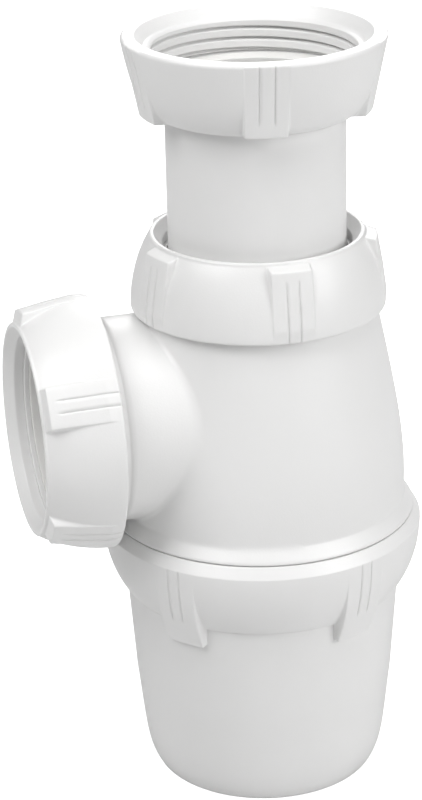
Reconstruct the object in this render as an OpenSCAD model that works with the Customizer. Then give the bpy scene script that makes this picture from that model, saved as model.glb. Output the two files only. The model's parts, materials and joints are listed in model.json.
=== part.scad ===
// Adjustable bottle trap for a sink: a screwed inlet on a sliding tube, a bottle with a pipe outlet at
// its side, and a cup that unscrews for cleaning. All lengths are in millimetres.
// The origin is the centre of the cup's flat base, +Z runs up the bottle's axis, the outlet points to -X.

/* [Pipe and threads] */
// Outside diameter of the inlet tube, and of the waste pipe that the outlet takes
pipe_d = 40; // [38:0.5:42]
// Outside diameter of the thread that the inlet nut takes
inlet_thread_d = 47.8; // [47:0.1:49]
// Depth of the thread between the threaded neck or spigot and its nut
thread_h = 1.15; // [0.9:0.05:1.4]
// Depth of the thread between the bottle and its cup
cup_thread_h = 1; // [0.8:0.05:1.2]

/* [Inlet tube] */
// Wall of the inlet tube
tube_wall = 2; // [1.6:0.1:2.4]
// Length of the inlet tube below its flange
tube_len = 87; // [82:1:92]
// Thickness of the flange at the top of the inlet tube
tube_flange_t = 2; // [1.5:0.1:2.6]
// Length of tube that shows between the neck nut and the inlet nut
tube_rise = 27.75; // [24:0.25:32]
// Bevel on the lower end of the inlet tube and of the dip tube
tube_bevel = 0.6; // [0.3:0.1:0.8]

/* [Inlet nut] */
// Wall of the inlet nut at its rim, outside the thread
inlet_rim_wall = 5.25; // [4.6:0.05:6]
// Wall at the nut's foot, round the tube and between the lugs
inlet_foot_wall = 1.6; // [1.2:0.1:2]
// Length of the inlet thread
inlet_thread_len = 8.25; // [7.5:0.05:10]
// Thickness of the nut's floor, which the tube's flange rests on
inlet_floor_t = 2.3; // [1.8:0.1:2.6]
// Depth of the bevel that leads into the inlet thread
inlet_lead = 2.2; // [1.6:0.1:2.6]
// Thickness of the flat gasket on the tube's flange
gasket_t = 2.5; // [2:0.1:3]
// How much smaller in radius the pocket for flange and gasket is than the inlet thread
pocket_step = 0.7; // [0.5:0.05:0.9]
// How far a lug stands outside the thread at the nut's foot
inlet_lug_wall = 2; // [1.4:0.1:2.6]
// Width of the gasket, from its hole to its edge
gasket_w = 4.9; // [4.2:0.1:5.4]
// Direction of the inlet nut's first lug
inlet_nut_turn = -101.2; // [-180:0.1:180]

/* [Compression nuts] */
// Wall of a compression nut at its wide end
nut_wall = 4.05; // [3.6:0.05:4.6]
// Thickness of a compression nut's inward flange
nut_flange_t = 4.5; // [4:0.1:5.2]
// Space round the pipe in the nut's hole
nut_hole_gap = 1.3; // [1:0.1:1.5]
// Width of the bevel at the mouth of the nut's hole
nut_mouth_w = 1.95; // [1.6:0.05:2.2]
// Depth of that bevel
nut_mouth_depth = 2.3; // [1.8:0.1:2.8]
// Width of the rounded ridge round the nut's mouth
nut_ridge_w = 1; // [0.8:0.1:1.3]
// Rounding at the edge of the nut's wide end
nut_edge = 0.5; // [0.3:0.1:0.8]
// How far the nut's wide end stays off the shoulder behind it
nut_gap = 0.4; // [0.3:0.1:0.8]
// Direction of the neck nut's first lug
neck_nut_turn = -90.5; // [-180:0.1:180]
// Direction of the outlet nut's first lug, seen along the outlet
outlet_nut_turn = -58.9; // [-180:0.1:180]

/* [Lugs] */
// Number of lugs round each nut and round the cup's collar
lug_count = 5; // [4:1:6]
// Width of a nut's lug
lug_w = 9.5; // [8:0.1:10.5]
// How far a compression nut's lug stands off the nut near the mouth
lug_proud = 1.5; // [1:0.1:1.8]
// Width of the collar's lug
cup_lug_w = 10; // [9:0.1:11.5]
// How far the collar's lugs run on below the collar
cup_lug_run = 4.6; // [3.5:0.1:6]
// How far the lower end of such a lug stands off the cup
cup_lug_proud = 1.5; // [1:0.1:2]
// Width of the two fine lines engraved in each lug
line_w = 0.4; // [0.3:0.05:0.5]
// Depth of those lines
line_depth = 0.25; // [0.15:0.05:0.35]
// Distance between the two lines of a lug
line_pitch = 2.9; // [2.4:0.1:3.4]

/* [Seals] */
// Thickness of a compression seal's flange
seal_t = 1.8; // [1.4:0.1:2.2]
// Length of the seal's cone
seal_cone_h = 4; // [3.2:0.1:4.4]
// How much the seal's cone and its seat widen towards the mouth
seal_taper = 0.95; // [0.8:0.05:1]
// Thickness of the slip ring between a seal and its nut
ring_t = 1.2; // [1:0.1:1.6]
// Thickness of the flat seal under the bottle's skirt
cup_seal_t = 1.8; // [1.4:0.1:2.2]

/* [Dip tube] */
// Wall of the dip tube
dip_wall = 1.35; // [1.25:0.05:1.5]
// Space between the dip tube's lower end and the cup's floor
dip_clear = 17.4; // [14:0.2:21]
// Thickness of the dip tube's collar
dip_collar_t = 1.2; // [1:0.1:1.6]

/* [Bottle] */
// Diameter of the bottle above its flange
body_d = 66.5; // [65.5:0.1:67]
// Wall of the bottle
body_wall = 2.2; // [1.8:0.1:2.6]
// Width of the shoulder round the neck's thread
shoulder_w = 3.25; // [2.6:0.05:4]
// Height of the shoulder above the top of the spigot
shoulder_rise = 0.65; // [0.4:0.05:4]
// Straight height of the bottle above the flange, before it narrows
body_band_h = 3; // [1:0.1:5]
// Wall of the neck and of the spigot at their threads
neck_wall = 1.7; // [1.5:0.05:2]
// Thickness of the flange at its outer edge
flange_t = 4; // [3:0.1:5]
// How much smaller in radius the threaded skirt is than the bottle above the flange
skirt_step = 0.95; // [0.6:0.05:1.3]
// Wall of the skirt
skirt_wall = 2.4; // [2:0.1:2.8]
// Length of the skirt below the seam
skirt_len = 11.7; // [11:0.1:12]
// Length of the threaded neck above the shoulder
neck_len = 8.8; // [8.4:0.1:9.6]

/* [Outlet] */
// How far the underside of the spigot cuts into the flange
spigot_sink = 1.75; // [0.5:0.05:2]
// Space between the outlet nut and the cup's collar
outlet_nut_gap = 1.2; // [0.8:0.1:5]
// How much slimmer the spigot is behind its thread
spigot_relief = 0.5; // [0.2:0.1:0.8]
// How deep the waste pipe goes into the spigot, from its rim to the stop
socket_depth = 15.3; // [14:0.1:17]
// Height of the stop that the waste pipe meets
pipe_stop_h = 1.8; // [1.2:0.1:2.4]

/* [Cup] */
// Height of the seam between cup and bottle above the base
seam_z = 65; // [63:0.1:68]
// Width of the rounding between the cup's side and its flat base
base_round = 6.8; // [5.5:0.1:8]
// How much smaller in radius the cup is than the bore of its thread
cup_step = 1.4; // [1.2:0.1:1.8]
// How much the straight part of the cup narrows, on the diameter
cup_draft = 3.2; // [2:0.1:4]
// Height of the rounded lower part of the cup
cup_round_h = 24; // [20:0.5:28]
// Wall of the cup
cup_wall = 2.4; // [2:0.1:2.6]
// Thickness of the cup's floor
cup_floor_t = 2.6; // [2.2:0.1:3]
// Wall of the collar where it is widest
collar_wall = 3.7; // [3.2:0.1:4.2]
// Wall of the collar at its lip, where it meets the bottle's flange
collar_lip = 2; // [1.6:0.1:2.4]
// How far the collar reaches below the ledge for the seal
collar_under = 4.7; // [4:0.1:5.5]
// Height of the collar's bevelled upper band
collar_band_h = 4.2; // [3.4:0.1:5]
// Step under the collar's lower edge
collar_step = 0.5; // [0.3:0.1:0.8]
// Direction of the middle between the cup's two front lugs
cup_turn = -103.2; // [-180:0.1:180]

/* [Clearances] */
// Space round the tube in the dip tube, and round the waste pipe in the spigot
slide_gap = 0.3; // [0.25:0.05:0.4]
// Space round the tube in the slip rings and in the inlet nut's floor
ring_gap = 0.4; // [0.3:0.05:0.5]
// Space between a seal and the pipe that it will grip
grip_gap = 0.05; // [0.02:0.01:0.1]
// Space between the seal's cone and its seat
seat_gap = 0.1; // [0.05:0.05:0.15]
// Space between pieces that turn inside or on each other
turn_gap = 0.3; // [0.2:0.05:0.35]

/* [Hidden] */
$fn = 96;
plastic = "whitesmoke";
seal_plastic = "ivory";
curve_steps = 8;
cut = 1;

pipe_r = pipe_d / 2;
bore_r = pipe_r + slide_gap;
dip_r = bore_r + dip_wall;
neck_bore_r = dip_r + turn_gap;
neck_r = neck_bore_r + neck_wall;
collar_fit_r = neck_r - turn_gap;

nut_bore_r = neck_r + thread_h;
nut_r = nut_bore_r + nut_wall;
nut_hole_r = pipe_r + nut_hole_gap;
nut_mouth_r = nut_hole_r + nut_mouth_w;
nut_top_r = nut_mouth_r + nut_ridge_w;

body_r = body_d / 2;
shoulder_r = neck_r + shoulder_w;
spigot_r = neck_r - spigot_relief;
skirt_r = body_r - skirt_step;
skirt_in_r = skirt_r - skirt_wall;
cup_bore_r = skirt_r + cup_thread_h;
flange_r = cup_bore_r + collar_lip;
collar_r = cup_bore_r + collar_wall;
cup_r = cup_bore_r - cup_step;

// Heights from the base up
dip_end_z = cup_floor_t + dip_clear;
skirt_z = seam_z - skirt_len;
ledge_z = skirt_z - cup_seal_t;
collar_z = ledge_z - collar_under;
flange_top_z = seam_z + flange_t;
outlet_z = flange_top_z + spigot_r - spigot_sink;
shoulder_z = outlet_z + spigot_r + shoulder_rise;
neck_z = shoulder_z + neck_len;
neck_nut_z = shoulder_z + nut_gap;
neck_seal_z = neck_z + dip_collar_t;
neck_ring_z = neck_seal_z + seal_t;

// Depth of a compression nut's threaded bore, set by what the neck nut presses together
nut_bore_h = neck_ring_z + ring_t - neck_nut_z;
nut_h = nut_bore_h + nut_flange_t;
inlet_nut_z = neck_nut_z + nut_h + tube_rise;
tube_top_z = inlet_nut_z + inlet_floor_t + tube_flange_t;
gasket_z = tube_top_z;
inlet_nut_h = gasket_z + gasket_t - inlet_nut_z + inlet_thread_len + inlet_lead;
tube_end_z = tube_top_z - tube_flange_t - tube_len;

// Places along the outlet's axis, from the bottle's axis outwards
outlet_nut_x = collar_r + outlet_nut_gap;
outlet_ring_x = outlet_nut_x + nut_bore_h - ring_t;
outlet_seal_x = outlet_ring_x - seal_t;
spigot_x = outlet_seal_x;
pipe_stop_x = spigot_x - socket_depth;

inlet_r = inlet_thread_d / 2;
pocket_r = inlet_r - pocket_step;
gasket_r = pocket_r - turn_gap;
tube_flange_r = pocket_r - ring_gap;

// A point of a curve with four control points, and the curve as a list of points
function curve_at(p, t) =
    pow(1 - t, 3) * p[0] + 3 * pow(1 - t, 2) * t * p[1] + 3 * (1 - t) * t * t * p[2] + pow(t, 3) * p[3];
function curve(p) = [for (i = [0:curve_steps]) curve_at(p, i / curve_steps)];
// A value part of the way from a to b
function between(a, b, share) = a + (b - a) * share;

module turned(outline) {
    rotate_extrude() polygon(outline);
}

// A ring with a rectangular section
module ring(inner_r, outer_r, height) {
    turned([[inner_r, 0], [outer_r, 0], [outer_r, height], [inner_r, height]]);
}

// Puts a piece made round +Z on the outlet's axis, with its height running out of the bottle
module at_outlet() {
    translate([0, 0, outlet_z]) rotate([0, -90, 0]) children();
}

// The stretches of a turned outline that lie within straight-sided lugs
module lugs(outline, width, first, reach, height) {
    intersection() {
        turned(outline);
        for (i = [0:lug_count - 1])
            rotate(first + i * 360 / lug_count)
                translate([0, -width / 2, -height]) cube([reach, width, 2 * height]);
    }
}

// Two fine lines down the face of each lug, cut to line_depth below the lug's slanted outline
module lug_lines(low, high, first, reach) {
    depth = [line_depth, 0];
    for (side = [-1, 1])
        lugs([low - depth, low + depth, high + depth, high - depth], line_w,
             first + side * asin(line_pitch / (low[0] + high[0])), reach, reach);
}

// Nut that presses a seal onto a pipe: its wide, threaded end stands at height 0
module compression_nut(first_lug) {
    side = curve([
        [nut_r, 2 * nut_edge], [between(nut_top_r, nut_r, 0.94), nut_h * 0.41],
        [between(nut_top_r, nut_r, 0.53), nut_h * 0.76], [nut_top_r, nut_h - nut_edge / 2]
    ]);
    outline = concat(
        [[nut_bore_r + nut_edge, 0], [nut_r - nut_edge, 0]],
        side,
        [[nut_top_r - nut_edge / 2, nut_h], [nut_mouth_r, nut_h],
         [nut_hole_r, nut_h - nut_mouth_depth], [nut_hole_r, nut_bore_h],
         [nut_bore_r, nut_bore_h], [nut_bore_r, nut_edge]]
    );
    lug_low = [nut_r + 0.1 * lug_proud, nut_h * 0.15];
    lug_high = [between(nut_top_r, nut_r, 0.35) + lug_proud * 0.9, nut_h * 0.88];
    lug_outline = [
        [nut_bore_r + nut_edge, nut_h * 0.07], [nut_r - nut_edge, nut_h * 0.07], lug_low, lug_high,
        [nut_top_r - nut_edge / 2, nut_h - nut_edge / 2],
        [nut_mouth_r + nut_edge, nut_h - 2 * nut_edge], [nut_bore_r + nut_edge, nut_bore_h]
    ];
    color(plastic) difference() {
        union() {
            turned(outline);
            lugs(lug_outline, lug_w, first_lug, nut_r + lug_proud, nut_h);
        }
        lug_lines(lug_low, between(lug_low, lug_high, 0.8), first_lug, nut_r + lug_proud);
    }
}

// Conical seal that a compression nut squeezes onto its pipe, with its flange's foot at height 0
module cone_seal() {
    inner_r = pipe_r + grip_gap;
    color(seal_plastic) turned([
        [inner_r, -seal_cone_h + seat_gap], [bore_r - seat_gap, -seal_cone_h + seat_gap],
        [bore_r + seal_taper - seat_gap, 0], [collar_fit_r, 0], [collar_fit_r, seal_t], [inner_r, seal_t]
    ]);
}

// Hard ring that lets the nut turn without dragging the seal round
module slip_ring() {
    color(plastic) ring(pipe_r + ring_gap, nut_bore_r - turn_gap, ring_t);
}

module inlet_gasket() {
    color(seal_plastic) translate([0, 0, gasket_z]) ring(gasket_r - gasket_w, gasket_r, gasket_t);
}

// Loose nut that hangs the trap on the sink's waste, turned over with its thread upwards
module inlet_nut() {
    edge = nut_edge;
    hole_r = pipe_r + ring_gap;
    foot_r = hole_r + inlet_foot_wall;
    rim_r = inlet_r + inlet_rim_wall;
    lug_r = inlet_r + inlet_lug_wall;
    pocket_z = gasket_z + gasket_t - inlet_nut_z;
    lead_r = inlet_r + inlet_lead;
    side = curve([
        [foot_r, 0], [between(inlet_r, rim_r, 0.4), inlet_nut_h * 0.09],
        [between(inlet_r, rim_r, 0.67), inlet_nut_h * 0.43], [rim_r, inlet_nut_h - edge]
    ]);
    outline = concat(
        [[hole_r, 0]],
        side,
        [[rim_r - edge, inlet_nut_h], [lead_r, inlet_nut_h], [inlet_r, inlet_nut_h - inlet_lead],
         [inlet_r, pocket_z], [pocket_r, pocket_z], [pocket_r, inlet_floor_t],
         [hole_r, inlet_floor_t]]
    );
    lug_low = [lug_r, edge];
    lug_high = [rim_r - edge / 4, inlet_nut_h - 2 * edge];
    lug_outline = [
        [foot_r, edge], lug_low, lug_high, [rim_r - 2 * edge, inlet_nut_h - 2 * edge],
        [pocket_r + 2 * edge, inlet_floor_t]
    ];
    color(plastic) translate([0, 0, inlet_nut_z]) difference() {
        union() {
            turned(outline);
            lugs(lug_outline, lug_w, inlet_nut_turn, rim_r + edge, inlet_nut_h);
        }
        lug_lines(between(lug_low, lug_high, 0.25), lug_high, inlet_nut_turn, rim_r + edge);
    }
}

module inlet_tube() {
    inner_r = pipe_r - tube_wall;
    color(plastic) turned([
        [inner_r, tube_end_z], [pipe_r - tube_bevel, tube_end_z], [pipe_r, tube_end_z + tube_bevel],
        [pipe_r, tube_top_z - tube_flange_t], [tube_flange_r, tube_top_z - tube_flange_t],
        [tube_flange_r, tube_top_z], [inner_r, tube_top_z]
    ]);
}

module neck_nut() {
    translate([0, 0, neck_nut_z]) compression_nut(neck_nut_turn);
}

module neck_ring() {
    translate([0, 0, neck_ring_z]) slip_ring();
}

module neck_seal() {
    translate([0, 0, neck_seal_z]) cone_seal();
}

// Tube that carries the water down into the cup; its collar hangs on the neck's rim
module dip_tube() {
    color(plastic) turned([
        [bore_r, dip_end_z], [dip_r - tube_bevel, dip_end_z], [dip_r, dip_end_z + tube_bevel],
        [dip_r, neck_z], [collar_fit_r, neck_z], [collar_fit_r, neck_seal_z],
        [bore_r + seal_taper, neck_seal_z], [bore_r, neck_seal_z - seal_cone_h]
    ]);
}

// Bell with its flange, threaded skirt, threaded neck and side spigot, moulded in one piece
module bottle_body() {
    bell = curve([
        [body_r, flange_top_z + body_band_h],
        [body_r, between(flange_top_z + body_band_h, shoulder_z, 0.24)],
        [between(body_r, shoulder_r, 0.25), between(flange_top_z + body_band_h, shoulder_z, 0.46)],
        [shoulder_r, shoulder_z]
    ]);
    inside = [for (p = bell) p - [body_wall, 0]];
    roof_z = shoulder_z - 2 * body_wall;
    cone_r = bore_r + seal_taper;
    color(plastic) difference() {
        union() {
            turned(concat(
                [[0, skirt_z], [skirt_r, skirt_z], [skirt_r, seam_z], [flange_r, seam_z],
                 [body_r, flange_top_z]],
                bell,
                [[neck_r, shoulder_z], [neck_r, neck_z], [0, neck_z]]
            ));
            at_outlet() cylinder(r = spigot_r, h = outlet_nut_x);
            at_outlet() translate([0, 0, outlet_nut_x - cut])
                cylinder(r = neck_r, h = spigot_x - outlet_nut_x + cut);
        }
        turned(concat(
            [[0, skirt_z - cut], [skirt_in_r, skirt_z - cut], [skirt_in_r, seam_z],
             [body_r - body_wall, flange_top_z]],
            [for (p = inside) if (p[1] < roof_z) p],
            [[neck_bore_r + body_wall, roof_z], [neck_bore_r, roof_z + body_wall], [neck_bore_r, neck_z + cut],
             [0, neck_z + cut]]
        ));
        at_outlet() cylinder(r = bore_r - pipe_stop_h, h = spigot_x);
        at_outlet() translate([0, 0, pipe_stop_x]) cylinder(r = bore_r, h = spigot_x - pipe_stop_x + cut);
        at_outlet() turned([
            [0, spigot_x - seal_cone_h], [bore_r, spigot_x - seal_cone_h], [cone_r, spigot_x],
            [cone_r, spigot_x + cut], [0, spigot_x + cut]
        ]);
    }
}

module outlet_seal() {
    at_outlet() translate([0, 0, outlet_seal_x]) cone_seal();
}

module outlet_ring() {
    at_outlet() translate([0, 0, outlet_ring_x]) slip_ring();
}

module outlet_nut() {
    at_outlet() translate([0, 0, outlet_nut_x]) compression_nut(outlet_nut_turn);
}

module cup_seal() {
    color(seal_plastic) translate([0, 0, ledge_z]) ring(skirt_in_r, cup_bore_r - turn_gap, cup_seal_t);
}

// Cup with the threaded, lugged collar that screws it to the bottle, moulded in one piece
module cup() {
    top_z = seam_z - turn_gap;
    wide_z = seam_z - collar_band_h;
    waist_r = cup_r - cup_draft / 2;
    base_r = waist_r - base_round;
    lug_end_z = collar_z - cup_lug_run;
    collar_side = curve([
        [collar_r, wide_z], [collar_r, between(wide_z, collar_z, 0.4)],
        [between(cup_r, collar_r, 0.6), between(wide_z, collar_z, 0.78)],
        [cup_r + collar_step, collar_z]
    ]);
    wall = [[cup_r, collar_z], [waist_r, cup_round_h]];
    foot = curve([
        [waist_r, cup_round_h], [between(base_r, waist_r, 0.83), cup_round_h * 0.375],
        [between(base_r, waist_r, 0.79), 0], [base_r, 0]
    ]);
    inner_foot = curve([
        [waist_r - cup_wall, cup_round_h],
        [between(base_r, waist_r, 0.83) - cup_wall, cup_round_h * 0.375 + cup_floor_t],
        [between(base_r, waist_r, 0.79) - cup_wall, cup_floor_t], [base_r - cup_wall, cup_floor_t]
    ]);
    lug_low = [cup_r - cup_draft / 8 + cup_lug_proud, lug_end_z];
    lug_high = [collar_r - line_depth / 5, between(wide_z, collar_z, 0.1)];
    color(plastic) difference() {
        union() {
            turned(concat([[0, 0]], [for (i = [curve_steps:-1:0]) foot[i]], [wall[0]],
                [for (i = [curve_steps:-1:0]) collar_side[i]], [[flange_r, top_z], [0, top_z]]));
            lugs([[cup_r - cup_wall / 2, lug_end_z], lug_low, lug_high,
                  [between(cup_bore_r, collar_r, 0.3), lug_high[1]],
                  [cup_r - cup_wall / 2, ledge_z - cup_wall]],
                 cup_lug_w, cup_turn + 180 / lug_count, collar_r, seam_z);
        }
        turned(concat(
            [[0, cup_floor_t]], [for (i = [curve_steps:-1:0]) inner_foot[i]],
            [[skirt_in_r - turn_gap, ledge_z - cup_wall], [skirt_in_r - turn_gap, ledge_z], [cup_bore_r, ledge_z],
             [cup_bore_r, top_z + cut], [0, top_z + cut]]
        ));
        lug_lines(between(lug_low, lug_high, 0.35), lug_high, cup_turn + 180 / lug_count, collar_r);
    }
}

inlet_gasket();
inlet_nut();
inlet_tube();
neck_nut();
neck_ring();
neck_seal();
dip_tube();
bottle_body();
outlet_seal();
outlet_ring();
outlet_nut();
cup_seal();
cup();
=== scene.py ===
import json
import math

import bmesh
import bpy
import numpy as np
from mathutils import Matrix, Vector


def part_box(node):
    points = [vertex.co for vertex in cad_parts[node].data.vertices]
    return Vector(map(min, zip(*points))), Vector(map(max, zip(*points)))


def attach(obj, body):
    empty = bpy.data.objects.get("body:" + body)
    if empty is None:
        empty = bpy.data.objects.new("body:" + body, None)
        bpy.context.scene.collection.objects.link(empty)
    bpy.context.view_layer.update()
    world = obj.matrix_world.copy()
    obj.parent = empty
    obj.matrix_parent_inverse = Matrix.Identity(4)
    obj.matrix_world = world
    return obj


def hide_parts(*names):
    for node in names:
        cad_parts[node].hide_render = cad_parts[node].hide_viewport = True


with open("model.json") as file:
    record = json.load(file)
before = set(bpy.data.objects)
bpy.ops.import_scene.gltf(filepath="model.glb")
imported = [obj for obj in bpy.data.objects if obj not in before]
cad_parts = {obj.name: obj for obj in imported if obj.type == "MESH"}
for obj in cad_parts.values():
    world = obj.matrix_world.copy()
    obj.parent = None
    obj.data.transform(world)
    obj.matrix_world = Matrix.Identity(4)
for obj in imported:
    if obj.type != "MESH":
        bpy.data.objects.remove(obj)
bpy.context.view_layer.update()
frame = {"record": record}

MM = 0.001


# Inlet nut. The loose nut that hangs the trap on the sink's waste, injection moulded in white
# polypropylene with five grip lugs. It is turned over: the threaded mouth looks up, and the tube's
# flange and the gasket lie on its floor. It is held by nothing but that flange.
def box_mm(node):
    """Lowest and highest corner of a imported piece, in millimetres."""
    low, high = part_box(node)
    return np.array(low) / MM, np.array(high) / MM


def between(start, end, share):
    """A value part of the way from start to end."""
    return start + (end - start) * share


def smooth(share):
    """An ease from 0 to 1: three times the square less twice the cube, flat outside that range."""
    share = np.clip(share, 0, 1)
    return share * share * (3 - 2 * share)


def curve(controls, count=40):
    """Points of a cubic Bezier curve: its control points weighted by the terms of (1 - t + t) cubed."""
    t = np.linspace(0, 1, count)[:, None]
    first, second, third, last = np.array(controls, float)
    return (1 - t) ** 3 * first + 3 * (1 - t) ** 2 * t * second + 3 * (1 - t) * t * t * third + t**3 * last


def arc(before, corner, after, radius, steps=8):
    """Points of the circular arc of that radius that touches both sides of a corner. Its centre lies on
    the line that halves the corner's angle, radius / sin(half angle) from the corner."""
    back = (before - corner) / np.linalg.norm(before - corner)
    ahead = (after - corner) / np.linalg.norm(after - corner)
    half = math.acos(np.clip(back @ ahead, -1, 1)) / 2
    middle = (back + ahead) / np.linalg.norm(back + ahead)
    centre = corner + middle * radius / math.sin(half)
    across = back - middle * (back @ middle)
    across /= np.linalg.norm(across)
    turn = np.linspace(math.pi / 2 - half, half - math.pi / 2, steps)[:, None]
    return centre - radius * middle * np.cos(turn) + radius * across * np.sin(turn)


def leg(corners, count, turning=2.0):
    """Points along a line through corners (radius, height, rounding), the last one left out. They are
    spaced evenly in its length plus `turning` millimetres for each radian that it turns, so that they
    crowd where it bends."""
    points = np.array([c[:2] for c in corners], float)
    rounding = [c[2] if len(c) > 2 else 0 for c in corners]
    fine = [points[:1]]
    for i in range(1, len(points) - 1):
        fine.append(arc(*points[i - 1 : i + 2], rounding[i]) if rounding[i] else points[i : i + 1])
    line = np.concatenate([*fine, points[-1:]])
    step = np.diff(line, axis=0)
    heading = np.unwrap(np.arctan2(step[:, 1], step[:, 0]))
    bend = np.abs(np.diff(heading, prepend=heading[:1])) + np.abs(np.diff(heading, append=heading[-1:]))
    spent = np.concatenate([[0], np.cumsum(np.hypot(*step.T) + turning * bend / 2)])
    wanted = np.linspace(0, spent[-1], count, endpoint=False)
    return np.stack([np.interp(wanted, spent, line[:, k]) for k in (0, 1)], 1)


def thread_ridge(height, angle, pitch, depth, start, end, phase=0.0, crest=0.1, foot=0.42):
    """How far a right-handed thread's ridge stands up. With p the share of a pitch that
    height / pitch - angle / turn has passed, the ridge is full within crest of p = 1/2, gone beyond foot,
    eased between, and fades out over a third of a pitch at both ends."""
    passed = np.mod(height / pitch - angle / (2 * np.pi) + phase, 1)
    ridge = smooth((foot - np.abs(passed - 0.5)) / (foot - crest))
    fade = smooth((height - start) / (pitch / 3)) * smooth((end - height) / (pitch / 3))
    return depth * ridge * fade


LUG_COUNT = 5
LINE_W = 0.44
LINE_DEPTH = 0.25


def lug_columns(lug_w, line_pitch, edge=0.45, steps=10, spare=10):
    """Columns of one lug's sector, from its middle outwards: the offset of each in millimetres, how much
    it belongs to the lug (1) or the plain ring (0), and how deep it lies in the fine line.
    Across the lug's side the offset follows a cube, so that the side is steep and its edges round."""
    line = line_pitch / 2 + LINE_W * np.linspace(-0.5, 0.5, 7)
    beside = np.linspace(line_pitch * 0.7, lug_w / 2 - edge, 4)[:-1]
    face = np.concatenate([[0, line_pitch / 5], line, beside])
    q = np.linspace(-1, 1, steps + 1)
    side = lug_w / 2 + edge * (0.7 * q**3 + 0.3 * q)
    beyond = lug_w / 2 + edge + np.array([0.5, 1.2])
    offset = np.concatenate([face, side, beyond])
    belongs = np.concatenate([np.ones(len(face)), 1 - smooth((q + 1) / 2), np.zeros(len(beyond))])
    groove = 1 - np.clip(np.abs(offset - line_pitch / 2) / (LINE_W / 2), 0, 1) ** 2
    share = np.linspace(0, 1, spare + 1)[1:]
    return offset, belongs, groove, share


def on_wall(outline, wall_r):
    """1 for the points of an outline that run along the wall of that radius, 0 for the others."""
    return (np.abs(outline[:, :1] - wall_r) < 1e-6) * 1.0


def lugged_ring(body, lug, lug_w, line_pitch, first, lines, thread, bore_r):
    """A ring with lugs, as rows (outline points) x columns (round the ring) x 3.
    Each column mixes the plain ring's outline with the lug's, less the groove of the fine lines, which
    run between two heights on the outside. Its angle is the lug's direction plus the arc sine of its
    offset over its radius, so that a lug has parallel sides, and beyond the lug it spreads evenly to the
    middle of the gap. thread(height, angle) is what the wall of radius bore_r gains inwards."""
    offset, belongs, groove, share = lug_columns(lug_w, line_pitch)
    outside = (np.arange(len(body)) < lines[2])[:, None]
    r = body[:, :1] + (lug[:, :1] - body[:, :1]) * belongs
    h = body[:, 1:] + (lug[:, 1:] - body[:, 1:]) * belongs
    along = smooth((h - lines[0]) / 0.8) * smooth((lines[1] - h) / 1.6)
    r = r - LINE_DEPTH * groove * along * outside
    angle = np.arcsin(offset / np.maximum(r, offset[-1] * 1.05))
    half = np.pi / LUG_COUNT
    ends = angle[:, -1:]
    angle = np.concatenate([angle, ends + (half - ends) * share], 1)
    r = np.concatenate([r, np.repeat(r[:, -1:], len(share), 1)], 1)
    h = np.concatenate([h, np.repeat(h[:, -1:], len(share), 1)], 1)
    angle = np.concatenate([-angle[:, :0:-1], angle[:, :-1]], 1)
    r = np.concatenate([r[:, :0:-1], r[:, :-1]], 1)
    h = np.concatenate([h[:, :0:-1], h[:, :-1]], 1)
    turns = math.radians(first) + 2 * half * np.arange(LUG_COUNT)
    angle = np.concatenate([angle + turn for turn in turns], 1)
    r = np.tile(r, (1, LUG_COUNT))
    h = np.tile(h, (1, LUG_COUNT))
    r = r - thread(h, angle) * on_wall(body, bore_r)
    return np.stack([r * np.cos(angle), r * np.sin(angle), h], 2)


def closed(grid, rows=True, columns=True):
    """A grid with its first row and first column repeated at its end, where it runs round."""
    grid = np.concatenate([grid, grid[:1]], 0) if rows else grid
    return np.concatenate([grid, grid[:, :1]], 1) if columns else grid


def solid(name, *grids):
    """One mesh from grids of points in millimetres. Neighbouring points of a grid make a face, points
    that meet are merged, and the faces are turned outwards."""
    points, faces, start = [], [], 0
    for grid in grids:
        rows, columns = grid.shape[:2]
        index = start + np.arange(rows * columns).reshape(rows, columns)
        quads = np.stack([index[:-1, :-1], index[:-1, 1:], index[1:, 1:], index[1:, :-1]], -1)
        points.append(grid.reshape(-1, 3) * MM)
        faces.append(quads.reshape(-1, 4))
        start += rows * columns
    points, faces = np.concatenate(points), np.concatenate(faces)
    mesh = bpy.data.meshes.new(name)
    mesh.vertices.add(len(points))
    mesh.vertices.foreach_set("co", points.astype(np.float32).ravel())
    mesh.loops.add(faces.size)
    mesh.loops.foreach_set("vertex_index", faces.astype(np.int32).ravel())
    mesh.polygons.add(len(faces))
    mesh.polygons.foreach_set("loop_start", np.arange(0, faces.size, 4, dtype=np.int32))
    mesh.update(calc_edges=True)
    made = bmesh.new()
    made.from_mesh(mesh)
    bmesh.ops.remove_doubles(made, verts=made.verts, dist=0.002 * MM)
    bmesh.ops.recalc_face_normals(made, faces=made.faces)
    for face in made.faces:
        face.smooth = True
    made.to_mesh(mesh)
    made.free()
    piece = bpy.data.objects.new(name, mesh)
    bpy.context.scene.collection.objects.link(piece)
    return piece


def fit(piece, body, node, material):
    """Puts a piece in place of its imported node, on its body, with its finish."""
    piece.data.materials.append(material)
    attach(piece, body)
    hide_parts(node)
    return piece


class Wire:
    """A socket among a material's nodes. Sums, differences and products of wires and numbers add Math
    nodes, and node() adds any other node."""

    def __init__(self, tree, socket=None):
        self.tree = tree
        self.socket = socket

    def node(self, kind, settings, sockets, output=0):
        made = self.tree.nodes.new("ShaderNode" + kind)
        for name, value in settings.items():
            setattr(made, name, value)
        for name, value in sockets.items():
            if isinstance(value, Wire):
                self.tree.links.new(value.socket, made.inputs[name])
            else:
                made.inputs[name].default_value = value
        return Wire(self.tree, made.outputs[output] if made.outputs else None)

    def math(self, operation, first, second):
        return self.node("Math", {"operation": operation}, {0: first, 1: second})

    def __add__(self, other):
        return self.math("ADD", self, other)

    def __sub__(self, other):
        return self.math("SUBTRACT", self, other)

    def __rsub__(self, other):
        return self.math("SUBTRACT", other, self)

    def __mul__(self, other):
        return self.math("MULTIPLY", self, other)

    __radd__ = __add__
    __rmul__ = __mul__


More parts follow.
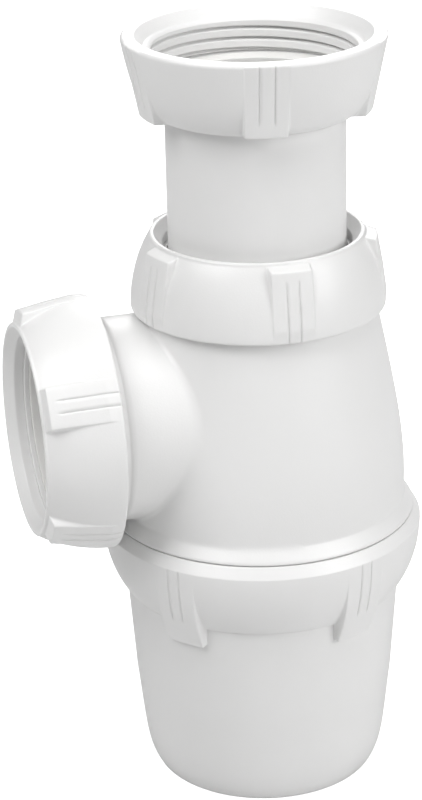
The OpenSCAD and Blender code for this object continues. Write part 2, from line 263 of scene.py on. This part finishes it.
def new_material(name):
    """An empty material and the wire that starts its nodes."""
    material = bpy.data.materials.new(name)
    material.use_nodes = True
    material.node_tree.nodes.clear()
    return material, Wire(material.node_tree)


WHITE = (0.80, 0.797, 0.795, 1)
SHADED_WHITE = (0.765, 0.765, 0.757, 1)


def white_plastic(name, gloss=0.36, grain=0.02, waves=0.1, stretch=(1, 1, 1)):
    """White polypropylene: a faint cloud in its white, a roughness that drifts round gloss, a fine grain
    and low waves left by the mould, all drawn out along an axis where stretch is small."""
    material, start = new_material(name)
    place = start.node("TexCoord", {}, {}, "Object")
    drawn = start.node("Mapping", {}, {"Vector": place, "Scale": stretch})
    cloud = start.node("TexNoise", {}, {"Vector": drawn, "Scale": 45.0, "Detail": 3.0})
    patches = start.node("TexNoise", {}, {"Vector": drawn, "Scale": 130.0, "Detail": 2.0})
    fine = start.node("TexNoise", {}, {"Vector": drawn, "Scale": 2600.0, "Detail": 1.0})
    colour = start.node(
        "Mix", {"data_type": "RGBA"}, {0: cloud * 0.8, 6: WHITE, 7: SHADED_WHITE}, 2
    )
    bump = start.node(
        "Bump", {}, {"Height": fine * grain + cloud * waves, "Distance": MM, "Strength": 1.0}
    )
    shader = start.node(
        "BsdfPrincipled",
        {},
        {
            "Base Color": colour,
            "Roughness": gloss - 0.05 + patches * 0.1,
            "IOR": 1.49,
            "Normal": bump,
        },
    )
    start.node("OutputMaterial", {}, {"Surface": shader})
    return material


moulded = white_plastic("white_plastic_moulded")

inlet_low, inlet_high = box_mm("inlet_nut")
inlet_h = inlet_high[2] - inlet_low[2]
mounts = {m["name"]: m for m in frame["record"]["mounts"]}
INLET_R = 23.9
PIPE_R = 20.0
RING_GAP = 0.4
NUT_FLOOR = 2.3
LEAD = 2.2
POCKET_R = INLET_R - 0.7
RIM_R = INLET_R + 5.25
THREAD_PITCH = 2.45
THREAD_DEPTH = 1.3
INLET_PHASE = 0.11
inlet_hole_r = PIPE_R + RING_GAP
inlet_foot_r = inlet_hole_r + 1.6
gasket_low, gasket_high = box_mm("inlet_gasket")
pocket_h = gasket_high[2] - inlet_low[2]
inlet_side = curve([
    [inlet_foot_r, 0], [between(INLET_R, RIM_R, 0.4), inlet_h * 0.09],
    [between(INLET_R, RIM_R, 0.67), inlet_h * 0.43], [RIM_R, inlet_h - 0.9],
])
inlet_top = [[RIM_R - 1.5, inlet_h, 0]]
body_outside = leg([*inlet_side, [RIM_R - 0.1, inlet_h, 0.8], *inlet_top], 64)
lug_outside = leg(
    [[inlet_foot_r, 0], [inlet_foot_r + 0.4, 0.3], [INLET_R + 2, 0.5, 0.5],
     [RIM_R + 0.05, inlet_h - 0.35, 0.35], *inlet_top], 64
)
inlet_inside = np.concatenate([
    leg([[RIM_R - 1.5, inlet_h], [INLET_R + LEAD, inlet_h, 0.3], [INLET_R + 1, inlet_h - 0.7 * LEAD, 1],
         [INLET_R, inlet_h - 1.4 * LEAD]], 18),
    leg([[INLET_R, inlet_h - 1.4 * LEAD], [INLET_R, pocket_h]], 56),
    leg([[INLET_R, pocket_h], [POCKET_R, pocket_h], [POCKET_R, NUT_FLOOR], [inlet_hole_r, NUT_FLOOR, 0.2],
         [inlet_hole_r, 0, 0.2], [inlet_foot_r, 0]], 30),
])


def inlet_thread(height, angle):
    return thread_ridge(
        height, angle, THREAD_PITCH, THREAD_DEPTH, pocket_h, inlet_h - LEAD * 0.6, INLET_PHASE, 0.3, 0.5
    )


inlet_grid = lugged_ring(
    np.concatenate([body_outside, inlet_inside]), np.concatenate([lug_outside, inlet_inside]),
    9.5, 3.3, -101.2, (3.4, inlet_h + 2, len(body_outside)), inlet_thread, INLET_R
)
inlet_nut = solid("screwed_inlet_nut", closed(inlet_grid + [0, 0, inlet_low[2]]))
fit(inlet_nut, "inlet_nut", "inlet_nut", moulded)


# Gasket. A flat washer of pale elastomer, cut from sheet, that lies on the tube's flange and seals it
# against the sink's waste when the inlet nut is done up.
def turned(outline, count=160):
    """A closed outline of (radius, height) turned once round the axis, as a grid."""
    angle = np.linspace(0, 2 * np.pi, count, endpoint=False)
    r, h = outline[:, :1], outline[:, 1:]
    return np.stack([r * np.cos(angle), r * np.sin(angle), h + 0 * angle], 2)


def washer(inner_r, outer_r, low, high, rounding=0.25, count=160):
    """A flat ring with rounded edges, as a closed grid."""
    middle = (inner_r + outer_r) / 2
    corners = [
        [middle, low], [outer_r, low, rounding], [outer_r, high, rounding],
        [inner_r, high, rounding], [inner_r, low, rounding], [middle, low],
    ]
    return closed(turned(leg(corners, 44, 1.0), count))


def pale_rubber(name):
    """Pale elastomer: matt, with a fine even grain and a faint cloud in its colour."""
    material, start = new_material(name)
    place = start.node("TexCoord", {}, {}, "Object")
    cloud = start.node("TexNoise", {}, {"Vector": place, "Scale": 160.0, "Detail": 3.0})
    fine = start.node("TexNoise", {}, {"Vector": place, "Scale": 3500.0, "Detail": 1.0})
    colour = start.node(
        "Mix", {"data_type": "RGBA"}, {0: cloud, 6: (0.80, 0.795, 0.78, 1), 7: (0.75, 0.745, 0.725, 1)}, 2
    )
    bump = start.node("Bump", {}, {"Height": fine, "Distance": 0.03 * MM, "Strength": 1.0})
    shader = start.node(
        "BsdfPrincipled", {}, {"Base Color": colour, "Roughness": 0.55 + cloud * 0.12, "Normal": bump}
    )
    start.node("OutputMaterial", {}, {"Surface": shader})
    return material


rubber = pale_rubber("pale_rubber")
gasket = solid(
    "inlet_flat_gasket", washer(PIPE_R - 2, gasket_high[0], gasket_low[2], gasket_high[2])
)
fit(gasket, "inlet_nut", "inlet_gasket", rubber)


# Inlet tube. A length of white 40 mm pipe with a flange moulded on its upper end; it slides up and down
# in the neck seal to set the trap's height, and its wall is slightly glossier than the moulded nuts.
tube_low, tube_high = box_mm("inlet_tube")
TUBE_IN_R = PIPE_R - 2
FLANGE_T = 2.0
tube_outline = leg([
    [TUBE_IN_R, tube_high[2] - 20], [TUBE_IN_R, tube_low[2], 0.3], [PIPE_R - 0.2, tube_low[2], 0.5],
    [PIPE_R, tube_low[2] + 1], [PIPE_R, tube_high[2] - 30], [PIPE_R, tube_high[2] - FLANGE_T, 0.4],
    [tube_high[0], tube_high[2] - FLANGE_T, 0.3], [tube_high[0], tube_high[2], 0.3],
    [TUBE_IN_R, tube_high[2], 0.5], [TUBE_IN_R, tube_high[2] - 20]
], 150)
pipe_wall = white_plastic("white_plastic_pipe", 0.3, 0.01, 0.06, (1, 1, 0.15))
tube = solid("sliding_inlet_tube", closed(turned(tube_outline, 192)))
fit(tube, "inlet_tube", "inlet_tube", pipe_wall)


# Compression nuts. Two equal nuts, moulded in white polypropylene with five lugs and a rounded ridge
# round the mouth, press a seal onto the pipe that passes through them: one on the bottle's neck, one on
# its outlet. Each is screwed on over its seal and slip ring.
NECK_R = 23.65
NUT_BORE_R = NECK_R + 1.15
NUT_R = NUT_BORE_R + 4.05
NUT_HOLE_R = PIPE_R + 1.3
NUT_MOUTH_R = NUT_HOLE_R + 1.95
NUT_TOP_R = NUT_MOUTH_R + 1.0
NUT_PITCH = 3.0
NUT_THREAD_DEPTH = 0.8
neck_low, neck_high = box_mm("neck_nut")
nut_h = neck_high[2] - neck_low[2]
ring_low, ring_high = box_mm("neck_ring")
nut_bore_h = ring_high[2] - neck_low[2]


def nut_thread(height, angle):
    return thread_ridge(height, angle, NUT_PITCH, NUT_THREAD_DEPTH, 0.6, 9.6, 0.5, 0.1, 0.27)


def compression_nut(first):
    """The nut's grid round its own axis, with its wide end at height 0."""
    heel = leg([[NUT_BORE_R + 0.5, 0], [NUT_R, 0, 0.5], [NUT_R, 1.2]], 12)
    plain = curve([
        [NUT_R, 1.2], [between(NUT_TOP_R, NUT_R, 0.94), nut_h * 0.41],
        [between(NUT_TOP_R, NUT_R, 0.53), nut_h * 0.76], [NUT_TOP_R, nut_h - 0.6],
    ])
    side = leg(plain, 48)
    lug_side = leg(
        [[NUT_R, 1.2], [NUT_R + 0.12, 3, 2], [NUT_R - 0.7, 9, 6], [NUT_R - 1.9, nut_h * 0.92, 0.4],
         [NUT_TOP_R, nut_h - 0.6]], 48
    )
    mouth = leg([
        [NUT_TOP_R, nut_h - 0.6], [NUT_TOP_R - 0.05, nut_h, 0.5], [NUT_MOUTH_R, nut_h, 0.45],
        [NUT_HOLE_R, nut_h - 2.3, 0.5], [NUT_HOLE_R, nut_bore_h, 0.2], [NUT_BORE_R, nut_bore_h, 0.2],
        [NUT_BORE_R, nut_bore_h - 1],
    ], 44)
    bore = leg([[NUT_BORE_R, nut_bore_h - 1], [NUT_BORE_R, 0.5]], 64)
    foot = leg([[NUT_BORE_R, 0.5], [NUT_BORE_R + 0.5, 0]], 2)
    body = np.concatenate([heel, side, mouth, bore, foot])
    lug = np.concatenate([heel, lug_side, mouth, bore, foot])
    lines = (-2, nut_h * 0.83, len(heel) + len(side))
    return lugged_ring(body, lug, 9.5, 2.8, first, lines, nut_thread, NUT_BORE_R)


neck_nut = solid("neck_compression_nut", closed(compression_nut(-90.5) + [0, 0, neck_low[2]]))
fit(neck_nut, "neck_nut", "neck_nut", moulded)

outlet_high = box_mm("outlet_nut")[1]
outlet_z = mounts["outlet"]["pos_m"][2] / MM


def at_outlet(grid, distance):
    """Turns a grid made round +Z onto the outlet's axis: its height runs out of the bottle, to -X."""
    x, y, h = grid[..., 0], grid[..., 1], grid[..., 2]
    return np.stack([-(h + distance), y, outlet_z + x], -1)


outlet_nut = solid("outlet_compression_nut", closed(at_outlet(compression_nut(-58.9), -outlet_high[0])))
fit(outlet_nut, "outlet_nut", "outlet_nut", moulded)


# Slip rings and cone seals. Under each compression nut lie a hard white ring, which lets the nut turn
# without dragging the seal round, and a pale elastomer seal whose cone is squeezed into its seat.
SEAL_T = 1.8
SEAL_CONE = 4.0
SEAL_TAPER = 0.95
RING_T = 1.2


def cone_seal():
    """The seal's grid: a cone below height 0 and a flange above it."""
    inner, seat = PIPE_R + 0.05, PIPE_R + 0.3
    corners = [
        [inner, -1], [inner, -SEAL_CONE + 0.1], [seat - 0.1, -SEAL_CONE + 0.1],
        [seat + SEAL_TAPER - 0.1, 0, 0.2], [NECK_R - 0.3, 0, 0.2], [NECK_R - 0.3, SEAL_T, 0.3],
        [inner, SEAL_T, 0.2], [inner, -1],
    ]
    return turned(leg(corners, 60, 1.0))


def slip_ring():
    """The ring's grid, from height 0 to its thickness."""
    return washer(PIPE_R + RING_GAP, NUT_BORE_R - 0.3, 0, RING_T, 0.2)


neck_seal_high = box_mm("neck_seal")[1]
neck_seal = solid("neck_cone_seal", closed(cone_seal() + [0, 0, neck_seal_high[2] - SEAL_T]))
fit(neck_seal, "neck_seal", "neck_seal", rubber)
neck_ring = solid("neck_slip_ring", slip_ring() + [0, 0, ring_low[2]])
fit(neck_ring, "neck_ring", "neck_ring", moulded)
outlet_ring_high = box_mm("outlet_ring")[1]
outlet_seal_low = box_mm("outlet_seal")[0]
outlet_seal = solid("outlet_cone_seal", closed(at_outlet(cone_seal(), -outlet_seal_low[0] - SEAL_T)))
fit(outlet_seal, "bottle", "outlet_seal", rubber)
outlet_ring = solid("outlet_slip_ring", at_outlet(slip_ring(), -outlet_ring_high[0]))
fit(outlet_ring, "outlet_ring", "outlet_ring", moulded)


# Dip tube. A thin moulded tube that hangs by its collar in the bottle's neck and carries the water down
# into the cup; the inlet tube slides in it. It shows through the open outlet.
dip_low, dip_high = box_mm("dip_tube")
DIP_IN_R = PIPE_R + 0.3
DIP_R = DIP_IN_R + 1.35
neck_z = dip_high[2] - 1.2
dip_outline = leg([
    [DIP_IN_R, neck_z - 30], [DIP_IN_R, dip_low[2], 0.3], [DIP_R - 0.1, dip_low[2], 0.5],
    [DIP_R, dip_low[2] + 1], [DIP_R, neck_z, 0.3], [NECK_R - 0.3, neck_z, 0.2], [NECK_R - 0.3, dip_high[2], 0.2],
    [DIP_IN_R + SEAL_TAPER, dip_high[2]], [DIP_IN_R, dip_high[2] - SEAL_CONE, 0.5], [DIP_IN_R, neck_z - 30]
], 130)
dip_tube = solid("hanging_dip_tube", closed(turned(dip_outline, 128)))
fit(dip_tube, "bottle", "dip_tube", pipe_wall)


# Bottle. The bell that everything else hangs on, one white moulding: a threaded skirt that goes down
# into the cup, a flange that meets the cup's collar, the bell itself, a threaded neck on top and the
# threaded spigot of the outlet at its side, which runs into the bell with a soft rounding.
BODY_R = 33.25
BODY_WALL = 2.2
SKIRT_R = BODY_R - 0.95
SKIRT_IN_R = SKIRT_R - 2.4
CUP_BORE_R = SKIRT_R + 1.0
FLANGE_R = CUP_BORE_R + 2.0
SHOULDER_R = NECK_R + 3.25
SPIGOT_R = NECK_R - 0.5
NECK_BORE_R = DIP_R + 0.3
CUP_PITCH = 3.5
CUP_THREAD_DEPTH = 0.65
bottle_low = box_mm("bottle_body")[0]
skirt_z = bottle_low[2]
seam_z = skirt_z + 11.7
flange_top_z = seam_z + 3.2
band_z = flange_top_z + 3.8
shoulder_z = neck_low[2] - 0.4
spigot_end = -bottle_low[0]
AROUND = 84
UPRIGHT = 60
PATCH_ROWS = 34

bell_curve = curve([
    [BODY_R, band_z], [BODY_R, between(band_z, shoulder_z, 0.24)],
    [between(BODY_R, SHOULDER_R, 0.25), between(band_z, shoulder_z, 0.46)],
    [SHOULDER_R, shoulder_z - 0.5],
], 60)
bell = leg([[FLANGE_R, seam_z + 0.3], [BODY_R, flange_top_z, 0.5], *bell_curve], UPRIGHT)
bell = np.concatenate([bell, bell_curve[-1:]])
under_flange = np.concatenate([
    leg([[SKIRT_IN_R, skirt_z + 2], [SKIRT_IN_R, skirt_z, 0.4], [SKIRT_R, skirt_z, 0.6],
         [SKIRT_R, skirt_z + 1.5]], 16),
    leg([[SKIRT_R, skirt_z + 1.5], [SKIRT_R, seam_z - 1]], 64),
    leg([[SKIRT_R, seam_z - 1], [SKIRT_R, seam_z, 0.3], [FLANGE_R, seam_z, 0.3],
         [FLANGE_R, seam_z + 0.3]], 14),
    bell[:1],
])
ROOF_Z = shoulder_z - 2 * BODY_WALL
inner_curve = curve([
    [BODY_R - BODY_WALL, band_z], [BODY_R - BODY_WALL, between(band_z, shoulder_z, 0.24)],
    [between(BODY_R, SHOULDER_R, 0.25) - BODY_WALL, between(band_z, shoulder_z, 0.46)],
    [SHOULDER_R - BODY_WALL, shoulder_z],
], 80)
inner_curve = inner_curve[inner_curve[:, 1] < ROOF_Z - 0.4]
inner_bell = leg([[SKIRT_IN_R, seam_z], [BODY_R - BODY_WALL, flange_top_z, 1.0], *inner_curve], UPRIGHT)
inner_bell = np.concatenate([inner_bell, inner_curve[-1:]])
over_shoulder = np.concatenate([
    leg([bell[-1], [SHOULDER_R, shoulder_z, 0.4], [NECK_R, shoulder_z, 0.3], [NECK_R, shoulder_z + 1]], 14),
    leg([[NECK_R, shoulder_z + 1], [NECK_R, neck_z - 0.8]], 56),
    leg([
        [NECK_R, neck_z - 0.8], [NECK_R - 0.2, neck_z, 0.3], [NECK_BORE_R, neck_z, 0.3],
        [NECK_BORE_R, ROOF_Z + BODY_WALL, 1], [NECK_BORE_R + BODY_WALL, ROOF_Z, 1], inner_curve[-1]
    ], 36),
    inner_curve[-1:],
])
inside_skirt = leg([inner_bell[0], [SKIRT_IN_R, skirt_z + 2]], 4)
inside_skirt = np.concatenate([inside_skirt, [[SKIRT_IN_R, skirt_z + 2]]])

front_half = np.linspace(-np.pi / 2, np.pi / 2, AROUND + 1)
outlet_half = np.linspace(np.pi / 2, 3 * np.pi / 2, AROUND + 1)
full_turn = np.concatenate([outlet_half, front_half[1:]])


def swept(outline, angle, ridge=0.0):
    """An open outline of (radius, height) turned through the given angles; the ridge stands on it."""
    r, h = outline[:, :1] + ridge, outline[:, 1:] + 0 * angle
    return np.stack([r * np.cos(angle), r * np.sin(angle), h], 2)


def window_edge(outline):
    """Angles and heights along the edge of the bell's outlet half: below, up one side, back above and
    down the other side."""
    heights = outline[:, 1]
    below, above = np.full(AROUND, heights[0]), np.full(AROUND, heights[-1])
    angle = np.concatenate([
        outlet_half[:-1], np.full(UPRIGHT, outlet_half[-1]), outlet_half[:0:-1],
        np.full(UPRIGHT, outlet_half[0]), outlet_half[:1]
    ])
    height = np.concatenate([below, heights[:-1], above, heights[:0:-1], heights[:1]])
    return angle, height


def window_grid(outline, hole_r, turn):
    """The bell's outlet half round a hole: rows run from the hole's edge, at the angles `turn` round the
    outlet's axis, to the window's edge, closer together near the hole. Each point is the outline's
    radius at its height, at its angle."""
    edge_angle, edge_height = window_edge(outline)
    y, height = hole_r * np.cos(turn), outlet_z + hole_r * np.sin(turn)
    hole_angle = np.pi - np.arcsin(y / np.interp(height, outline[:, 1], outline[:, 0]))
    share = (np.linspace(0, 1, PATCH_ROWS + 1) ** 1.8)[:, None]
    angle = hole_angle + (edge_angle - hole_angle) * share
    height = height + (edge_height - height) * share
    r = np.interp(height, outline[:, 1], outline[:, 0])
    return np.stack([r * np.cos(angle), r * np.sin(angle), height], 2)


edge_angle, edge_height = window_edge(bell)
spigot_turn = np.unwrap(np.arctan2(edge_height - outlet_z, (np.pi - edge_angle) * 30))


def distance_to_bell(points, outline):
    """Signed distance to the turned bell: to the nearest stretch of its outline, less than 0 inside."""
    r, h = np.hypot(points[:, 0], points[:, 1]), points[:, 2]
    start, step = outline[:-1], np.diff(outline, axis=0)
    away = np.stack([r, h], 1)[:, None] - start
    share = np.clip((away * step).sum(2) / (step**2).sum(1), 0, 1)
    near = np.linalg.norm(away - share[:, :, None] * step, axis=2).min(1)
    return np.where(r < np.interp(h, bell[:, 1], bell[:, 0]), -near, near)


def rounding_at(height):
    """Radius of the rounding between spigot and bell: tighter near the flange and the shoulder."""
    return np.interp(height, [65, 70, 110, 114.2], [0.5, 0.9, 0.9, 0.5])


def joined_distance(points):
    """Signed distance to bell and spigot joined by a rolling-ball rounding of radius q: the greater of q
    and the nearer distance, less the length of (q - each distance), where those are above 0."""
    to_bell = distance_to_bell(points, bell)
    to_spigot = np.hypot(points[:, 1], points[:, 2] - outlet_z) - SPIGOT_R
    q = rounding_at(points[:, 2])
    inner = np.hypot(np.maximum(q - to_bell, 0), np.maximum(q - to_spigot, 0))
    return np.maximum(q, np.minimum(to_bell, to_spigot)) - inner


def drawn_onto(grid, distance):
    """The grid with each point moved along the slope of the distance until the distance is 0."""
    points = grid.reshape(-1, 3).copy()
    reach = 0.01
    for _ in range(6):
        slope = np.stack([
            distance(points + reach * axis) - distance(points - reach * axis) for axis in np.eye(3)
        ], 1)
        slope /= np.maximum(np.linalg.norm(slope, axis=1, keepdims=True), 1e-9)
        points -= slope * distance(points)[:, None]
    return points.reshape(grid.shape)


outer_window = window_grid(bell, SPIGOT_R, spigot_turn)
crease_x = outer_window[0, :, 0]
plain_end = spigot_end - 12.2
share = (np.linspace(0, 1, 22) ** 1.6)[:, None]
spigot_x = crease_x + (-plain_end - crease_x) * share
spigot_y = SPIGOT_R * np.cos(spigot_turn) + 0 * spigot_x
spigot_z = outlet_z + SPIGOT_R * np.sin(spigot_turn) + 0 * spigot_x
spigot_skin = np.stack([spigot_x, spigot_y, spigot_z], 2)
outer_window[:-1] = drawn_onto(outer_window[:-1], joined_distance)
spigot_skin[:-1] = drawn_onto(spigot_skin[:-1], joined_distance)
spigot_skin[0] = outer_window[0]

CONE_R = DIP_IN_R + SEAL_TAPER
STOP_R = DIP_IN_R - 1.8
STOP_X = spigot_end - 15.3
spigot_outline = np.concatenate([
    leg([[SPIGOT_R, plain_end], [SPIGOT_R - 0.35, plain_end + 0.5, 0.4],
         [SPIGOT_R - 0.35, spigot_end - 9.6, 0.3], [NECK_R, spigot_end - 9.0]], 14),
    leg([[NECK_R, spigot_end - 9.0], [NECK_R, spigot_end - 0.8]], 56),
    leg([[NECK_R, spigot_end - 0.8], [NECK_R - 0.2, spigot_end, 0.3], [CONE_R, spigot_end, 0.2],
         [DIP_IN_R, spigot_end - SEAL_CONE, 0.5], [DIP_IN_R, STOP_X, 0.3], [STOP_R, STOP_X, 0.3],
         [STOP_R, STOP_X - 1]], 44),
    [[STOP_R, STOP_X - 1]],
])


def neck_thread(height, angle):
    top = neck_z - neck_low[2] - 0.3
    return thread_ridge(
        height - neck_low[2], angle, NUT_PITCH, NUT_THREAD_DEPTH, 1.0, top, 0, 0.1, 0.27
    )


def spigot_thread(distance, angle):
    return thread_ridge(
        distance + outlet_high[0], angle, NUT_PITCH, NUT_THREAD_DEPTH, 1.0,
        spigot_end + outlet_high[0] - 0.3, 0, 0.1, 0.27
    )


def skirt_thread(height, angle):
    return thread_ridge(height, angle, CUP_PITCH, CUP_THREAD_DEPTH, skirt_z + 1, seam_z - 1.5, 0, 0.1, 0.27)


outer_d = spigot_outline[:, 1:] + 0 * spigot_turn
spigot_ridge = spigot_thread(outer_d, np.pi / 2 - spigot_turn) * on_wall(spigot_outline, NECK_R)
outer_r = spigot_outline[:, :1] + spigot_ridge
spigot_tube = np.stack(
    [-outer_d, outer_r * np.cos(spigot_turn), outlet_z + outer_r * np.sin(spigot_turn)], 2
)
spigot_tube[0] = spigot_skin[-1]
inner_window = window_grid(inner_bell, STOP_R, spigot_turn)
bore_skin = np.stack([spigot_tube[-1], inner_window[0]])


skirt_ridge = skirt_thread(under_flange[:, 1:], full_turn) * on_wall(under_flange, SKIRT_R)
neck_ridge = neck_thread(over_shoulder[:, 1:], full_turn) * on_wall(over_shoulder, NECK_R)
bottle = solid(
    "bottle_bell",
    swept(under_flange, full_turn, skirt_ridge),
    swept(bell, front_half),
    outer_window,
    spigot_skin,
    spigot_tube,
    bore_skin,
    inner_window,
    swept(over_shoulder, full_turn, neck_ridge),
    swept(inner_bell, front_half),
    swept(inside_skirt, full_turn),
)
fit(bottle, "bottle", "bottle_body", moulded)


# Cup seal. A flat ring of pale elastomer on the cup's ledge, which the bottle's skirt presses on.
cup_seal_low, cup_seal_high = box_mm("cup_seal")
cup_seal = solid(
    "cup_flat_seal", washer(SKIRT_IN_R, CUP_BORE_R - 0.3, cup_seal_low[2], cup_seal_high[2], 0.3)
)
fit(cup_seal, "cup_seal", "cup_seal", rubber)


# Cup. The part that is unscrewed to clean the trap, one white moulding: a tapered cup with a round foot
# and a flat base, and a wide collar with an inner thread and five lugs that run down onto the cup.
cup_high = box_mm("cup")[1]
cup_top = cup_high[2] + 0.1
COLLAR_R = CUP_BORE_R + 3.7
CUP_R = CUP_BORE_R - 1.4
WAIST_R = CUP_R - 1.6
BASE_R = WAIST_R - 4.2
CUP_WALL = 2.4
CUP_FLOOR = 2.6
FOOT_H = 24.0
ledge_z = cup_seal_low[2]
collar_z = ledge_z - 4.7
wide_z = seam_z - 2.7
lug_end_z = collar_z - 4.6
foot_curve = curve([
    [BASE_R, 0.3], [between(BASE_R, WAIST_R, 0.6), FOOT_H * 0.19],
    [between(BASE_R, WAIST_R, 0.57), FOOT_H * 0.32], [WAIST_R, FOOT_H],
])
split_z = lug_end_z - 0.6
split_r = np.interp(split_z, [FOOT_H, collar_z], [WAIST_R, CUP_R])
collar_curve = curve([
    [CUP_R + 0.5, collar_z], [between(CUP_R, COLLAR_R, 0.6), between(wide_z, collar_z, 0.78)],
    [COLLAR_R, between(wide_z, collar_z, 0.45)], [COLLAR_R, wide_z - 0.3],
])
collar_top = [[COLLAR_R, wide_z, 0.4], [between(COLLAR_R, FLANGE_R, 0.7), between(wide_z, cup_top, 0.7)]]
cup_foot = leg([[0, 0], [BASE_R - 0.4, 0, 0.5], *foot_curve, [split_r, split_z]], 80)
collar_side = leg([[split_r, split_z], [CUP_R, collar_z, 0.3], *collar_curve, *collar_top], 72)
lug_curve = curve([
    [CUP_R + 1.1, lug_end_z + 0.3], [CUP_R + 3.4, between(lug_end_z, wide_z, 0.3)],
    [COLLAR_R - 0.1, between(lug_end_z, wide_z, 0.55)], [COLLAR_R, wide_z - 0.6],
])
lug_side = leg(
    [[split_r, split_z], [split_r + 0.05, lug_end_z, 0.2], [CUP_R + 1.1, lug_end_z, 0.25], *lug_curve[1:],
     *collar_top], 72
)
inner_foot = foot_curve[::-1] - [CUP_WALL, 0]
inner_foot = inner_foot[inner_foot[:, 1] > CUP_FLOOR + 0.6]
cup_inside = np.concatenate([
    leg([collar_top[-1], [FLANGE_R, cup_top, 0.3], [CUP_BORE_R, cup_top, 0.4],
         [CUP_BORE_R, cup_top - 1]], 18),
    leg([[CUP_BORE_R, cup_top - 1], [CUP_BORE_R, ledge_z + 2]], 64),
    leg([[CUP_BORE_R, ledge_z + 2], [CUP_BORE_R, ledge_z, 0.3], [SKIRT_IN_R - 0.3, ledge_z, 0.3],
         [SKIRT_IN_R - 0.3, ledge_z - CUP_WALL, 1], *inner_foot,
         [inner_foot[-1, 0] - 0.6, CUP_FLOOR], [0, CUP_FLOOR]], 90),
    [[0, CUP_FLOOR]],
])


def cup_thread(height, angle):
    return thread_ridge(
        height, angle, CUP_PITCH, CUP_THREAD_DEPTH, ledge_z + 2.2, cup_top - 1, 0.5, 0.1, 0.27
    )


cup_body = np.concatenate([cup_foot, collar_side, cup_inside])
cup_lug = np.concatenate([cup_foot, lug_side, cup_inside])
cup_grid = lugged_ring(
    cup_body, cup_lug, 10.0, 2.8, -103.2 + 36,
    (lug_end_z + 6.5, wide_z + 0.5, len(cup_foot) + len(collar_side)), cup_thread, CUP_BORE_R
)
cup = solid("screw_on_cup", closed(cup_grid, rows=False))
fit(cup, "cup", "cup", moulded)


# Floor, light and backdrop. A plain white floor that keeps the trap's soft shadow, a white backdrop, and
# four large soft lamps: above, to the upper left, to the right and behind.
def stage_material(name, colour, lift):
    """A matt floor that the camera sees lifted towards white; other rays meet only its colour."""
    material, start = new_material(name)
    seen = start.node("LightPath", {}, {}, "Is Camera Ray")
    matt = start.node("BsdfDiffuse", {}, {"Color": colour})
    glow = start.node("Emission", {}, {"Color": (1, 1, 1, 1), "Strength": lift})
    lifted = start.node("AddShader", {}, {0: matt, 1: glow})
    shader = start.node("MixShader", {}, {0: seen, 1: matt, 2: lifted})
    start.node("OutputMaterial", {}, {"Surface": shader})
    return material


FLOOR_HALF = 4000.0
corner = np.linspace(-FLOOR_HALF, FLOOR_HALF, 3)
floor_x, floor_y = np.meshgrid(corner, corner)
floor_grid = np.stack([floor_x, floor_y, 0 * floor_x], 2)
floor = solid("floor", floor_grid)
floor.data.materials.append(stage_material("floor_white", (0.7, 0.7, 0.7, 1), 0.85))

world = bpy.data.worlds.new("white_backdrop")
bpy.context.scene.world = world
world.use_nodes = True
world.node_tree.nodes.clear()
room = Wire(world.node_tree)
path = room.node("LightPath", {}, {}, "Is Camera Ray")
sky = room.node("Background", {}, {"Color": (1, 1, 1, 1), "Strength": 0.15})
backdrop = room.node("Background", {}, {"Color": (1, 1, 1, 1), "Strength": 1.0})
room.node("OutputWorld", {}, {"Surface": room.node("MixShader", {}, {0: path, 1: sky, 2: backdrop})})

TARGET = Vector((0, 0, 0.09))


def lamp(name, place, size, power):
    """A square soft lamp that faces the middle of the trap."""
    light = bpy.data.lights.new(name, "AREA")
    light.size = size
    light.energy = power
    made = bpy.data.objects.new(name, light)
    made.location = place
    made.rotation_euler = (TARGET - Vector(place)).to_track_quat("-Z", "Y").to_euler()
    bpy.context.scene.collection.objects.link(made)


lamp("top_lamp", (0.1, -0.15, 0.95), 0.7, 3.0)
lamp("upper_left_lamp", (-0.6, -0.2, 0.85), 0.6, 6.2)
lamp("right_lamp", (0.65, -0.75, 0.5), 0.6, 5.8)
lamp("back_lamp", (0.35, 0.85, 0.6), 0.6, 4.5)


# Camera. A long lens slightly above the trap and to the outlet's side, tipped a little to the right, at
# the distance that gives the photograph's perspective.
CAMERA_PLACE = Vector((-0.1497, -0.5083, 0.3088))
CAMERA_TARGET = Vector((-0.0108, 0.0029, 0.09055))
CAMERA_ROLL = math.radians(-1.36)
FRAME_H = 800
FOCAL_PX = 2494

ahead = (CAMERA_TARGET - CAMERA_PLACE).normalized()
level = ahead.cross(Vector((0, 0, 1))).normalized()
upright = level.cross(ahead)
right = level * math.cos(CAMERA_ROLL) + upright * math.sin(CAMERA_ROLL)
up = upright * math.cos(CAMERA_ROLL) - level * math.sin(CAMERA_ROLL)
lens = bpy.data.cameras.new("camera")
lens.lens = lens.sensor_width * FOCAL_PX / FRAME_H
lens.clip_start = 0.01
lens.clip_end = 20
camera = bpy.data.objects.new("camera", lens)
camera.matrix_world = Matrix((
    (right.x, up.x, -ahead.x, CAMERA_PLACE.x), (right.y, up.y, -ahead.y, CAMERA_PLACE.y),
    (right.z, up.z, -ahead.z, CAMERA_PLACE.z), (0, 0, 0, 1),
))
bpy.context.scene.collection.objects.link(camera)
bpy.context.scene.camera = camera
bpy.context.scene.view_settings.view_transform = "Standard"
